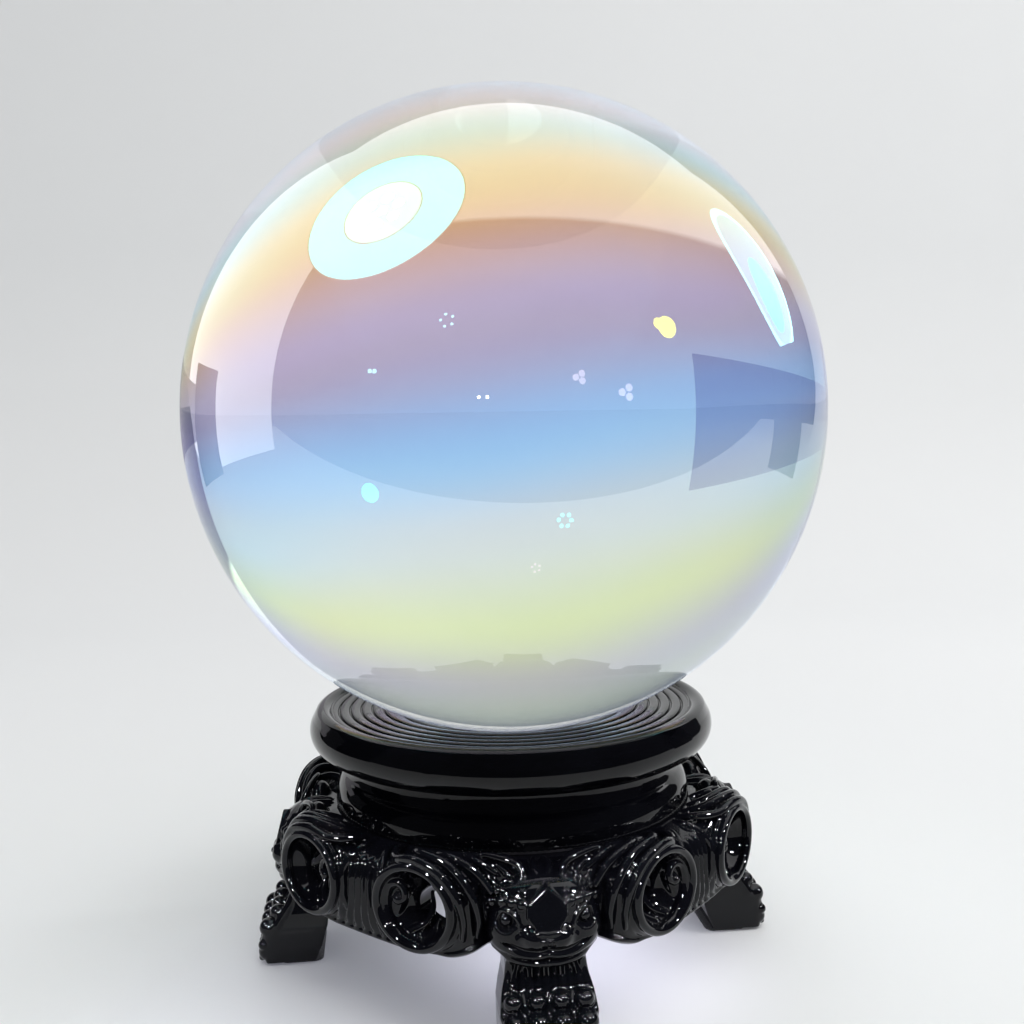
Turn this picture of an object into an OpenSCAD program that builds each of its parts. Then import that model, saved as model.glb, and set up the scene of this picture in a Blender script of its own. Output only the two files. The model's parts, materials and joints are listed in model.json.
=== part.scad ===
// Crystal ball on a carved four-legged stand with lion masks and paw feet.
// Millimetres, +Z up. The origin is on the floor under the middle of the ball.
// The front leg points along -Y and the other three follow at quarter turns.

/* [Ball] */
// Diameter of the solid glass ball
ball_d = 150; // [140:1:160]
// Height of the ball's lowest point above the floor
ball_base_z = 53; // [53:0.5:55]
// Clearance between the glass and the felt ring
seat_gap = 0.2; // [0.1:0.05:0.4]

/* [Seat dish] */
// Radius of the rounded rim at its widest
rim_r = 48.6; // [48:0.2:50]
// Thickness of the rounded rim, top to bottom
rim_h = 10.4; // [9.6:0.2:10.8]
// Height of the dish's underside above the floor
dish_z = 49; // [48.8:0.1:49.2]
// Radius of the open well in the middle of the dish
well_r = 20; // [16:1:21]
// Number of raised rings in the dish
ridge_count = 6; // [4:1:6]
// Distance from one raised ring to the next
ridge_pitch = 2.65; // [2.4:0.05:2.65]
// Radius of the circle along which the ball rests
contact_r = 24; // [23.5:0.5:24.5]
// Width of the felt ring, measured across
felt_w = 5; // [3:0.5:5]
// Thickness of the felt ring
felt_t = 1; // [0.6:0.1:1.2]

/* [Collar] */
// Radius of the plain neck under the rim
neck_r = 39.2; // [38:0.2:40]
// Radius of the collar at its widest
collar_r = 42.8; // [42.4:0.2:43.4]
// Height of the joint between the collar and the carved apron
seam_z = 36.5; // [36.5:0.1:37]
// Inside radius of the collar and of the tie ring
ring_bore_r = 30; // [26:1:30]

/* [Tie ring] */
// Outside radius of the ring that the legs are screwed to
tie_r = 41; // [40.6:0.2:41.2]
// Height of the tie ring
tie_h = 8.5; // [7:0.5:9]

/* [Apron] */
// Distance from the axis to the face of an apron panel
panel_y = 50.4; // [50:0.2:51]
// Height of the panel's lower edge above the floor
panel_z = 21.5; // [21:0.5:22]
// Distance from the middle of a panel to the centre of each scroll
scroll_x = 15.5; // [15:0.1:16]
// Height of the scroll centres above the floor
scroll_z = 28.6; // [28.4:0.1:29]
// Outside radius of a scroll
scroll_r = 9.5; // [9:0.1:9.6]
// Radius of the pierced opening in a scroll
scroll_hole_r = 4.9; // [4:0.1:5.2]
// Distance from the axis to a scroll's front rim
scroll_y = 52.5; // [52:0.1:53]
// Depth of a scroll from its front rim to its back
scroll_depth = 9; // [7:0.5:9]
// Angle by which each scroll faces away from the middle of its panel
scroll_turn = 7; // [4:1:9]

/* [Legs] */
// Half the width of a leg where it meets the panels
leg_half_w = 8; // [7.6:0.1:8.2]
// Distance from the axis to the back of the foot
heel_x = 45.5; // [45:0.1:46]
// Distance from the axis to the front of the toes
toe_x = 62; // [61.6:0.1:62.4]
// Half the width of the foot
foot_half_w = 9.8; // [9.6:0.1:10]
// Thickness of the felt pad under each foot
pad_t = 0.6; // [0.4:0.1:1]

/* [Fasteners] */
// Diameter of the screws
screw_d = 3; // [2.5:0.1:3]
// Diameter of the screw heads
screw_head_d = 6; // [5:0.1:6]
// Length of the screws that hold the dish, under the head
dish_screw_l = 22; // [20:0.5:22]
// Length of the screws that hold a leg, under the head
leg_screw_l = 15; // [12:0.5:15]
// Length of the pins between a leg and a panel
pin_l = 8; // [6:0.5:8]

/* [Hidden] */
$fn = 96;
eps = 0.01;
hull_fn = 24;
ball_r = ball_d / 2;
ball_z = ball_base_z + ball_r;

// The four legs, by name, as a turn about Z from the front leg.
LEG_TURNS = [0, 90, 180, 270];
PANEL_TURNS = [45, 135, 225, 315];

// The dish. The seat is a cone that touches the ball along contact_r.
ball_slope = contact_r / sqrt(ball_r * ball_r - contact_r * contact_r);
seat_z = ball_z - sqrt(ball_r * ball_r - contact_r * contact_r) - seat_gap;
felt_in = contact_r - felt_w / 2;
felt_out = contact_r + felt_w / 2;
felt_in_z = seat_z - ball_slope * felt_w / 2;
felt_out_z = seat_z + ball_slope * felt_w / 2;
ridge_first_r = 30;
ridge_r = 1.3;
floor_z = felt_out_z - 0.3;
rim_minor = rim_h / 2;
rim_z = dish_z - 0.1 + rim_minor;
edge_r = 2.2;

// The collar's convex moulding is a circle cut off at the seam.
ovolo_r = 6;
ovolo_z = seam_z + 2;
bead_r = 0.9;
bead_z = ovolo_z + 4.9;

tie_z = seam_z - tie_h;
screw_circle_r = 35.5;
head_h = 1.8;
leg_screw_y = 4.2;
leg_screw_z = tie_z + tie_h / 2;
leg_screw_x = 33;
pin_d = 3;
pin_z = 29;
pin_x = 45;

knee_x = 50.5;
knee_z = 24;
shank_half_w = 8.2;
ankle_z = 15.5;
foot_top_z = 9;
toe_count = 4;
toe_pitch = 4.9;
mask_half_w = 7.6;
mask_clear_w = 11;
mask_clear_x = 48.4;
apron_r = 54.4;

// ---- glass ball -----------------------------------------------------------

module crystal_ball() {
    color([0.86, 0.88, 0.95, 0.45])
        translate([0, 0, ball_z]) sphere(r = ball_r, $fn = 144);
}

// ---- turned parts ---------------------------------------------------------

module seat_felt() {
    color("dimgray")
        rotate_extrude() polygon([
            [felt_in, felt_in_z - felt_t], [felt_out, felt_out_z - felt_t],
            [felt_out, felt_out_z], [felt_in, felt_in_z]
        ]);
}

// Half section of the dish: flat disc, rounded rim, raised rings and felt seat.
module dish_section() {
    edge_x = rim_r - rim_minor + 1.9;
    polygon([
        [well_r, dish_z], [rim_r - rim_minor, dish_z],
        [rim_r - rim_minor, floor_z], [felt_out, floor_z],
        [felt_out, felt_out_z - felt_t], [felt_in, felt_in_z - felt_t],
        [well_r, felt_in_z - felt_t]
    ]);
    translate([rim_r - rim_minor, rim_z]) circle(r = rim_minor);
    translate([edge_x, rim_z + rim_minor - edge_r]) circle(r = edge_r);
    for (i = [0 : ridge_count - 1])
        translate([ridge_first_r + i * ridge_pitch, floor_z - 0.3]) circle(r = ridge_r);
}

module seat_dish() {
    color([0.05, 0.05, 0.06]) difference() {
        rotate_extrude() dish_section();
        dish_screw_shanks();
    }
}

module collar_section() {
    translate([ring_bore_r, seam_z]) square([neck_r - ring_bore_r, dish_z - seam_z]);
    intersection() {
        translate([collar_r - ovolo_r, ovolo_z]) circle(r = ovolo_r);
        translate([ring_bore_r, seam_z]) square([20, dish_z - seam_z]);
    }
    translate([collar_r - 2.4, bead_z]) circle(r = bead_r);
}

module neck_collar() {
    color([0.05, 0.05, 0.06]) difference() {
        rotate_extrude() collar_section();
        dish_screw_shanks();
    }
}

module tie_ring() {
    color([0.1, 0.1, 0.1]) difference() {
        translate([0, 0, tie_z]) cylinder(r = tie_r, h = tie_h);
        translate([0, 0, tie_z - 1]) cylinder(r = ring_bore_r, h = tie_h + 2);
        dish_screw_shanks();
        dish_screw_heads(1);
        for (turn = LEG_TURNS) rotate([0, 0, turn - 90]) {
            leg_screw_shanks();
            leg_screw_heads(ring_bore_r - leg_screw_x);
        }
    }
}

// ---- fasteners ------------------------------------------------------------

module dish_screw_shanks() {
    for (turn = PANEL_TURNS) rotate([0, 0, turn])
        translate([screw_circle_r, 0, tie_z + head_h]) cylinder(d = screw_d, h = dish_screw_l);
}

// The heads sit flush in the ring; extra lengthens them downwards for the pocket.
module dish_screw_heads(extra = 0) {
    for (turn = PANEL_TURNS) rotate([0, 0, turn])
        translate([screw_circle_r, 0, tie_z - extra])
            cylinder(d = screw_head_d, h = head_h + extra);
}

module dish_screws() {
    color("silver") difference() {
        union() {
            dish_screw_shanks();
            dish_screw_heads();
        }
        for (turn = PANEL_TURNS) rotate([0, 0, turn])
            translate([screw_circle_r, 0, tie_z - eps])
                for (a = [0, 90]) rotate([0, 0, a]) translate([-1.7, -0.4, 0])
                    cube([3.4, 0.8, 1]);
    }
}

module leg_screw_shanks() {
    for (side = [-1, 1])
        translate([leg_screw_x + head_h, side * leg_screw_y, leg_screw_z])
            rotate([0, 90, 0]) cylinder(d = screw_d, h = leg_screw_l);
}

// start is how far the head, or its pocket, reaches towards the axis.
module leg_screw_heads(start = 0) {
    for (side = [-1, 1])
        translate([leg_screw_x + start, side * leg_screw_y, leg_screw_z])
            rotate([0, 90, 0]) cylinder(d = screw_head_d, h = head_h - start);
}

module leg_screws() {
    color("silver") for (turn = LEG_TURNS) rotate([0, 0, turn - 90]) difference() {
        union() {
            leg_screw_shanks();
            leg_screw_heads();
        }
        for (side = [-1, 1]) translate([leg_screw_x - eps, side * leg_screw_y, leg_screw_z])
            for (a = [0, 90]) rotate([a, 0, 0]) translate([0, -1.7, -0.4])
                cube([1, 3.4, 0.8]);
    }
}

module apron_pins() {
    color("silver") for (turn = LEG_TURNS) rotate([0, 0, turn - 90])
        for (side = [-1, 1])
            translate([pin_x, side * leg_half_w, pin_z])
                rotate([90, 0, 0]) cylinder(d = pin_d, h = pin_l, center = true);
}

// ---- carved apron ---------------------------------------------------------
// A panel is drawn with its face towards +Y and its length along X.

module panel_plan() {
    difference() {
        intersection() {
            circle(r = apron_r);
            translate([-45, 0]) square([90, panel_y]);
            apex = leg_half_w * sqrt(2);
            polygon([[0, apex], [60, 60 + apex], [-60, 60 + apex]]);
        }
        circle(r = tie_r);
        for (side = [-1, 1]) rotate([0, 0, side * 45])
            translate([-mask_clear_w, mask_clear_x]) square([2 * mask_clear_w, 12]);
    }
}

// Moves its children to the centre of one scroll, with the scroll's axis along +Z.
module at_scroll(side) {
    translate([side * scroll_x, scroll_y, scroll_z])
        rotate([0, 0, -side * scroll_turn]) rotate([-90, 0, 0]) children();
}

// Half section of a scroll: a deep ring with a rounded lip and a flared mouth.
module scroll_section() {
    lip_r = 1.2;
    flare = scroll_r - 2 * lip_r - scroll_hole_r;
    polygon([
        [scroll_hole_r, -scroll_depth], [scroll_r, -scroll_depth], [scroll_r, -lip_r],
        [scroll_r - 2 * lip_r, -lip_r], [scroll_hole_r, -lip_r - flare]
    ]);
    translate([scroll_r - lip_r, -lip_r]) circle(r = lip_r);
}

// The small inner curl that closes part of the opening.
module scroll_curl(side) {
    curl_r = 1.7;
    translate([-side * (scroll_hole_r - curl_r), 0, -4.5])
        rotate_extrude() translate([curl_r, 0]) circle(r = 0.9);
}

// Ribs of the leaf between the two scrolls.
module leaf_ribs() {
    rib_r = 0.95;
    for (i = [-2 : 2]) translate([i * 1.9, panel_y, scroll_z - 6])
        cylinder(r = rib_r, h = 14.5 - abs(i));
}

// Strands that run from the collar over the top of each scroll.
module leaf_strands(side) {
    strand_r = 1.15;
    for (i = [0 : 3])
        translate([side * (7 + i * 4.6), 44.6 - i * 1.3, seam_z - 0.6]) rotate([-82, 0, 0])
            cylinder(r = strand_r, h = 7.4 + i * 0.5);
}

module apron_panel() {
    color([0.05, 0.05, 0.06]) difference() {
        union() {
            translate([0, 0, panel_z]) linear_extrude(seam_z - panel_z) panel_plan();
            leaf_ribs();
            for (side = [-1, 1]) leaf_strands(side);
        }
        for (side = [-1, 1]) {
            at_scroll(side) translate([0, 0, -20]) cylinder(r = scroll_r - 0.8, h = 24);
            rotate([0, 0, -side * 45]) translate([-side * leg_half_w, pin_x, pin_z])
                rotate([0, 90, 0]) cylinder(d = pin_d, h = pin_l, center = true);
        }
    }
    color([0.05, 0.05, 0.06]) for (side = [-1, 1]) at_scroll(side) {
        rotate_extrude() scroll_section();
        scroll_curl(side);
    }
}

// PANEL_TURNS is measured from the front leg, so a panel first turns to face -Y.
module apron_front_right() { rotate([0, 0, 180 + 45]) apron_panel(); }
module apron_back_right() { rotate([0, 0, 180 + 135]) apron_panel(); }
module apron_back_left() { rotate([0, 0, 180 + 225]) apron_panel(); }
module apron_front_left() { rotate([0, 0, 180 + 315]) apron_panel(); }

// ---- legs -----------------------------------------------------------------
// A leg is drawn pointing along +X.

// Upright rounded slab from back to front, used as one end of a blend.
module slab(back, front, half_w, z, h = 1) {
    corner = 1.6;
    for (x = [back + corner, front - corner], y = [-1, 1])
        translate([x, y * (half_w - corner), z]) cylinder(r = corner, h = h, $fn = hull_fn);
}

module shank() {
    hull() {
        slab(heel_x, toe_x - 4, foot_half_w, foot_top_z - 1);
        slab(heel_x + 0.4, toe_x - 6.4, shank_half_w, ankle_z);
    }
    hull() {
        slab(heel_x + 0.4, toe_x - 6.4, shank_half_w, ankle_z);
        slab(heel_x - 2, knee_x + 3, leg_half_w, knee_z);
    }
}

module toe(y) {
    knuckle = [toe_x - 4.6, y, 11.4];
    tip = [toe_x - 2.5, y, 4.2];
    translate(knuckle) sphere(r = 2.7);
    translate(tip) sphere(r = 2.5);
    translate([toe_x - 2.9, y, pad_t]) cylinder(r = 2.4, h = 3.4);
    lean = atan2(tip[0] - knuckle[0], knuckle[2] - tip[2]);
    translate(tip) rotate([0, -lean, 0]) cylinder(r = 2.35, h = norm(knuckle - tip));
}

module paw() {
    translate([heel_x, -foot_half_w, pad_t])
        cube([toe_x - 4 - heel_x, 2 * foot_half_w, foot_top_z - pad_t]);
    for (i = [0 : toe_count - 1]) toe((i - (toe_count - 1) / 2) * toe_pitch);
}

module ball_at(p, r) {
    translate(p) sphere(r = r, $fn = 20);
}

// Broad lion's face: skull, muzzle with chin, eyes and the curls of the mane.
module lion_mask() {
    hull() for (side = [-1, 1]) {
        ball_at([knee_x - 0.5, side * 6.2, 34.2], 2.6);
        ball_at([knee_x + 0.6, side * mask_half_w, 27.4], 2.9);
        ball_at([knee_x + 1.8, side * 5.2, 22.4], 2.4);
    }
    hull() for (side = [-1, 1]) {
        ball_at([knee_x + 1.6, side * 2.2, 32.6], 1.9);
        ball_at([knee_x + 4.2, side * 3.1, 25.4], 2.6);
        ball_at([knee_x + 3.6, side * 2.6, 21.8], 1.9);
    }
    for (side = [-1, 1]) {
        translate([knee_x + 3.2, side * 5.7, 29.6]) sphere(r = 1.3);
        translate([knee_x - 0.4, side * 5.4, 36]) rotate([0, 70, 0])
            rotate_extrude() translate([2.2, 0]) circle(r = 0.9);
    }
}

module leg() {
    color([0.05, 0.05, 0.06]) difference() {
        union() {
            translate([tie_r - 3, -leg_half_w, knee_z])
                cube([knee_x - tie_r + 3, 2 * leg_half_w, seam_z - knee_z]);
            shank();
            paw();
            lion_mask();
        }
        translate([0, 0, knee_z - 1]) cylinder(r = tie_r, h = seam_z);
        translate([0, 0, seam_z]) cylinder(r = collar_r + 0.4, h = 10);
        leg_screw_shanks();
        for (side = [-1, 1]) translate([pin_x, side * leg_half_w, pin_z])
            rotate([90, 0, 0]) cylinder(d = pin_d, h = pin_l, center = true);
    }
}

module foot_pad() {
    inset = 1.2;
    corner = 2;
    length = toe_x - 4 - heel_x - 2 * inset;
    width = 2 * (foot_half_w - inset);
    color("dimgray") linear_extrude(pad_t) translate([heel_x + inset, -width / 2]) {
        translate([corner, 0]) square([length - 2 * corner, width]);
        translate([0, corner]) square([length, width - 2 * corner]);
        for (x = [corner, length - corner], y = [corner, width - corner])
            translate([x, y]) circle(r = corner);
    }
}

module leg_front() { rotate([0, 0, -90]) leg(); }
module leg_right() { leg(); }
module leg_back() { rotate([0, 0, 90]) leg(); }
module leg_left() { rotate([0, 0, 180]) leg(); }

module foot_pad_front() { rotate([0, 0, -90]) foot_pad(); }
module foot_pad_right() { foot_pad(); }
module foot_pad_back() { rotate([0, 0, 90]) foot_pad(); }
module foot_pad_left() { rotate([0, 0, 180]) foot_pad(); }

crystal_ball();
seat_felt();
seat_dish();
neck_collar();
tie_ring();
dish_screws();
leg_screws();
apron_pins();
apron_front_right();
apron_back_right();
apron_back_left();
apron_front_left();
leg_front();
leg_right();
leg_back();
leg_left();
foot_pad_front();
foot_pad_right();
foot_pad_back();
foot_pad_left();
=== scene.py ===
import json
import math

import bpy
import numpy as np
from mathutils import Matrix, Vector

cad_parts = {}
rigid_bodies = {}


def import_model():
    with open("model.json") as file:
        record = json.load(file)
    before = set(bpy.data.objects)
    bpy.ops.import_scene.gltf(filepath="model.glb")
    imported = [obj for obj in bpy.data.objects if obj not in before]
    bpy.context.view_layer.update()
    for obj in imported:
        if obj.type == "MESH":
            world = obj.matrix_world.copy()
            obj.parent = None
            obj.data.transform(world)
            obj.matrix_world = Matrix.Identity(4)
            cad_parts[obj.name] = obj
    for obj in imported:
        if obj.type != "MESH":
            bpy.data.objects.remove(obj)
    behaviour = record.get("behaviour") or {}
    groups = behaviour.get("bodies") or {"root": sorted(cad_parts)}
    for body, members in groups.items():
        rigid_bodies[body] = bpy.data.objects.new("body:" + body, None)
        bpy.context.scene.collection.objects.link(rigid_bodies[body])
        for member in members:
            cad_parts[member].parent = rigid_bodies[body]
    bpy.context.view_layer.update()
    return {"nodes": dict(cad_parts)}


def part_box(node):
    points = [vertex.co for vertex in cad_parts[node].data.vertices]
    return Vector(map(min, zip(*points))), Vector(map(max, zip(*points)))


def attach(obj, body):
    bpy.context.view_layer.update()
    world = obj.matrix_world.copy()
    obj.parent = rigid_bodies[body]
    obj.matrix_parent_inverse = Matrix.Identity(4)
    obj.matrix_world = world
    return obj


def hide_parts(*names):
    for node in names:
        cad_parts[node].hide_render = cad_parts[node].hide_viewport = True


# A glass ball on a carved stand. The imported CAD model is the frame: every piece below is built round
# it, in its place, and rides on one of its two bodies, "stand" and "ball". The carved legs and panels
# are sculpted as distance fields, in millimetres, and turned into meshes.

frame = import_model()

MM = 0.001


def box_mm(node):
    """Lowest and highest corner of a CAD node, in millimetres."""
    low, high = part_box(node)
    return np.array(low) / MM, np.array(high) / MM


# ---- sizes read from the frame, in millimetres ----

ball_low, ball_high = box_mm("crystal_ball")
dish_low, dish_high = box_mm("seat_dish")
collar_low, collar_high = box_mm("neck_collar")
tie_high = box_mm("tie_ring")[1]
felt_low, felt_high = box_mm("seat_felt")
pad_high = box_mm("foot_pad_right")[1]

BALL_R = (ball_high[2] - ball_low[2]) / 2
BALL_Z = (ball_high[2] + ball_low[2]) / 2
RIM_R = dish_high[0]
DISH_Z = dish_low[2]
DISH_TOP = dish_high[2]
COLLAR_R = collar_high[0]
SEAM_Z = collar_low[2]
TIE_R = tie_high[0]
FELT_OUT = felt_high[0]
FELT_LOW = felt_low[2]
FELT_TOP = felt_high[2]
PAD_T = pad_high[2]
COLLAR_CLEAR_R = COLLAR_R + 0.55
TIE_CLEAR_R = TIE_R + 0.05

# ---- sculpting with distance fields ----
# A field takes p = [x, y, z] and gives the distance to a shape, negative inside it.

REACH = 2.5
SETTLE_ROUNDS = 2
SLOPE_REACH = 0.05
NORMAL_REACH = 0.09


def soft_min(a, b, k):
    """Joins two fields with a fillet of about k."""
    h = np.clip(0.5 + 0.5 * (b - a) / k, 0.0, 1.0)
    return b + (a - b) * h - k * h * (1.0 - h)


def soft_max(a, b, k):
    """Keeps what two fields share, with its edge rounded by about k."""
    return -soft_min(-a, -b, k)


def length(*parts):
    """The length of a vector given by its parts."""
    return np.sqrt(sum(c * c for c in parts))


def smooth_step(low, high, v):
    """Goes smoothly from 0 at low to 1 at high."""
    t = np.clip((v - low) / (high - low), 0.0, 1.0)
    return t * t * (3.0 - 2.0 * t)


def ball(p, c, r):
    """A ball at c with the radius r."""
    return length(p[0] - c[0], p[1] - c[1], p[2] - c[2]) - r


def egg(p, c, r):
    """An ellipsoid at c with the half sizes r."""
    q = [(p[i] - c[i]) / r[i] for i in range(3)]
    near = length(*q)
    return near * (near - 1.0) / np.maximum(length(*[q[i] / r[i] for i in range(3)]), 1e-5)


def block(p, c, h, rounding):
    """A box at c with the half sizes h and rounded edges."""
    q = [np.abs(p[i] - c[i]) - (h[i] - rounding) for i in range(3)]
    outside = length(*[np.maximum(v, 0.0) for v in q])
    inside = np.minimum(np.maximum(np.maximum(q[0], q[1]), q[2]), 0.0)
    return outside + inside - rounding


def rod(p, a, b, ra, rb):
    """A round rod from a to b whose radius goes from ra to rb."""
    a = np.asarray(a, float)
    b = np.asarray(b, float)
    along = b - a
    t = sum((p[i] - a[i]) * along[i] for i in range(3)) / max(along @ along, 1e-9)
    t = np.clip(t, 0.0, 1.0)
    return length(*[p[i] - a[i] - t * along[i] for i in range(3)]) - (ra + (rb - ra) * t)


def curve(points, steps):
    """A smooth Catmull-Rom line through the points, which may hold a radius as fourth value."""
    pts = np.asarray(points, float)
    ext = np.vstack([2 * pts[0] - pts[1], pts, 2 * pts[-1] - pts[-2]])
    line = []
    for i in range(len(pts) - 1):
        p0, p1, p2, p3 = ext[i:i + 4]
        for t in np.linspace(0, 1, steps, endpoint=False):
            bend = (2 * p0 - 5 * p1 + 4 * p2 - p3) * t ** 2 + (3 * p1 - p0 - 3 * p2 + p3) * t ** 3
            line.append(0.5 * (2 * p1 + (p2 - p0) * t + bend))
    line.append(pts[-1])
    return np.array(line)


def tube(p, points, steps=5):
    """A round strand along points of (x, y, z, radius). Far from it the field is just REACH."""
    line = curve(points, steps)
    low = line[:, :3].min(0) - line[:, 3].max() - REACH
    high = line[:, :3].max(0) + line[:, 3].max() + REACH
    near = np.ones(p[0].shape, bool)
    for i in range(3):
        near &= (p[i] > low[i]) & (p[i] < high[i])
    q = [c[near] for c in p]
    best = np.full(q[0].shape, REACH)
    for a, b in zip(line[:-1], line[1:]):
        best = np.minimum(best, rod(q, a[:3], b[:3], a[3], b[3]))
    field = np.full(p[0].shape, REACH)
    field[near] = best
    return field


def surface(field, low, high, step, mirror):
    """Vertices and quads of field = 0 by surface nets. The mirror axis is built from its positive half."""
    axes = [np.arange(low[i], high[i] + step, step) for i in range(3)]
    grid = np.meshgrid(*axes, indexing="ij")
    v = field([g.ravel() for g in grid]).reshape(grid[0].shape)
    keep = [slice(None)] * 3
    keep[mirror] = slice(None, 0, -1)
    v = np.concatenate([v[tuple(keep)], v], axis=mirror)
    axes[mirror] = np.concatenate([-axes[mirror][:0:-1], axes[mirror]])
    inside = v < 0
    n = np.array(v.shape)
    corner = [(i, j, k) for i in (0, 1) for j in (0, 1) for k in (0, 1)]
    count = np.zeros(n - 1, np.int8)
    for i, j, k in corner:
        count += inside[i:n[0] - 1 + i, j:n[1] - 1 + j, k:n[2] - 1 + k]
    cells = np.argwhere((count > 0) & (count < 8))
    index = np.full(n - 1, -1, np.int32)
    index[tuple(cells.T)] = np.arange(len(cells))
    value = np.stack([v[cells[:, 0] + i, cells[:, 1] + j, cells[:, 2] + k] for i, j, k in corner], 1)
    total = np.zeros((len(cells), 3))
    hits = np.zeros(len(cells))
    for a in range(8):
        for b in range(a + 1, 8):
            if sum(abs(corner[a][m] - corner[b][m]) for m in range(3)) != 1:
                continue
            va = value[:, a]
            vb = value[:, b]
            cross = (va < 0) != (vb < 0)
            t = np.where(cross, va / np.where(cross, va - vb, 1.0), 0.0)
            edge = np.array(corner[b]) - np.array(corner[a])
            total += (np.array(corner[a]) + t[:, None] * edge) * cross[:, None]
            hits += cross
    verts = np.array([a[0] for a in axes]) + (cells + total / hits[:, None]) * step
    quads = []
    for axis in range(3):
        o1, o2 = [m for m in range(3) if m != axis]
        below = [slice(None)] * 3
        above = [slice(None)] * 3
        below[axis] = slice(0, n[axis] - 1)
        above[axis] = slice(1, n[axis])
        starts_inside = inside[tuple(below)]
        where = np.argwhere(starts_inside != inside[tuple(above)])
        where = where[(where[:, o1] > 0) & (where[:, o1] < n[o1] - 1)]
        where = where[(where[:, o2] > 0) & (where[:, o2] < n[o2] - 1)]
        flip = starts_inside[tuple(where.T)]
        e1 = np.eye(3, dtype=int)[o1]
        e2 = np.eye(3, dtype=int)[o2]
        ring = [index[tuple((where - d).T)] for d in (e1 + e2, e2, 0 * e1, e1)]
        face = np.stack(ring, 1)
        if axis == 1:
            flip = ~flip
        face[~flip] = face[~flip][:, ::-1]
        quads.append(face)
    return verts, np.concatenate(quads)


def slope(field, verts, h):
    """The gradient of a field at the vertices, from samples h to either side."""
    g = np.empty(verts.shape)
    for i in range(3):
        ahead = verts.copy()
        behind = verts.copy()
        ahead[:, i] += h
        behind[:, i] -= h
        g[:, i] = (field(list(ahead.T)) - field(list(behind.T))) / (2 * h)
    return g


def sculpt(name, field, low, high, step, mirror):
    """A mesh of a field that is mirrored across one axis, with its points settled on the true surface."""
    def whole(p):
        q = list(p)
        q[mirror] = np.abs(q[mirror])
        return field(q)

    verts, quads = surface(field, low, high, step, mirror)
    for _ in range(SETTLE_ROUNDS):
        g = slope(whole, verts, SLOPE_REACH)
        move = -whole(list(verts.T))[:, None] * g / np.maximum((g * g).sum(1), 0.2)[:, None]
        size = np.linalg.norm(move, axis=1)
        verts = verts + move * np.minimum(1.0, 0.45 * step / np.maximum(size, 1e-9))[:, None]
    g = slope(whole, verts, NORMAL_REACH)
    normals = g / np.maximum(np.linalg.norm(g, axis=1), 1e-9)[:, None]
    mesh = mesh_from(name, verts, quads)
    mesh.normals_split_custom_set_from_vertices(normals)
    return mesh


def mesh_from(name, verts, quads):
    """A smooth mesh from vertices in millimetres."""
    mesh = bpy.data.meshes.new(name)
    mesh.vertices.add(len(verts))
    mesh.vertices.foreach_set("co", (np.asarray(verts) * MM).astype(np.float32).ravel())
    mesh.loops.add(quads.size)
    mesh.loops.foreach_set("vertex_index", quads.astype(np.int32).ravel())
    mesh.polygons.add(len(quads))
    mesh.polygons.foreach_set("loop_start", np.arange(0, quads.size, 4, dtype=np.int32))
    mesh.polygons.foreach_set("use_smooth", np.ones(len(quads), bool))
    mesh.update(calc_edges=True)
    return mesh


def mesh_of(name, points, faces):
    """A mesh from points in metres."""
    mesh = bpy.data.meshes.new(name)
    mesh.from_pydata(points, [], faces)
    return mesh


def joined_rings(count, around):
    """Quads between rings of points that follow one another."""
    faces = []
    for k in range(count - 1):
        for i in range(around):
            j = (i + 1) % around
            faces.append((k * around + i, k * around + j, (k + 1) * around + j, (k + 1) * around + i))
    return faces


# ---- turned shapes ----


def arc(r, z, radius, start, end, count):
    """Points of (r, z) on a circle, from the angle start to end in degrees."""
    angles = np.radians(np.linspace(start, end, count))
    return [(r + radius * math.cos(a), z + radius * math.sin(a)) for a in angles]


def turned(name, profile, around, wave=None):
    """A mesh turned about the Z axis from a closed profile of (r, z), anticlockwise with r to the right.

    wave bends the profile as it goes round: it takes r, z and the angle and gives a new r and z.
    """
    ring = np.array(profile)
    count = len(ring)
    angle = np.arange(around) * 2 * np.pi / around
    r = np.repeat(ring[None, :, 0], around, 0)
    z = np.repeat(ring[None, :, 1], around, 0)
    if wave is not None:
        r, z = wave(r, z, angle[:, None])
    x = r * np.cos(angle)[:, None]
    y = r * np.sin(angle)[:, None]
    verts = np.stack([x, y, z], 2).reshape(-1, 3)
    i = np.arange(around)[:, None]
    j = np.arange(count)[None, :]
    i2 = (i + 1) % around
    j2 = (j + 1) % count
    quads = np.stack([i * count + j, i2 * count + j, i2 * count + j2, i * count + j2], 2).reshape(-1, 4)
    return mesh_from(name, verts, quads)


def place(name, mesh, material, body, nodes, turn=0.0):
    """Makes a piece of a mesh, turned about Z, that rides on a body and stands for CAD nodes."""
    piece = bpy.data.objects.new(name, mesh)
    bpy.context.scene.collection.objects.link(piece)
    if not mesh.materials:
        mesh.materials.append(material)
    piece.rotation_euler[2] = math.radians(turn)
    bpy.context.view_layer.update()
    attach(piece, body)
    if nodes:
        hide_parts(*nodes)
    return piece


def cleared(body, r, z):
    """Cuts a carved body back from the collar above it and from the tie ring inside it."""
    body = np.maximum(body, COLLAR_CLEAR_R - r - 8.0 * np.maximum(SEAM_Z - z, 0))
    return np.maximum(body, TIE_CLEAR_R - r)


# ---- carved apron panel ----
# A panel is carved with its face towards +Y. Only x >= 0 is described; the other half mirrors it.

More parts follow.
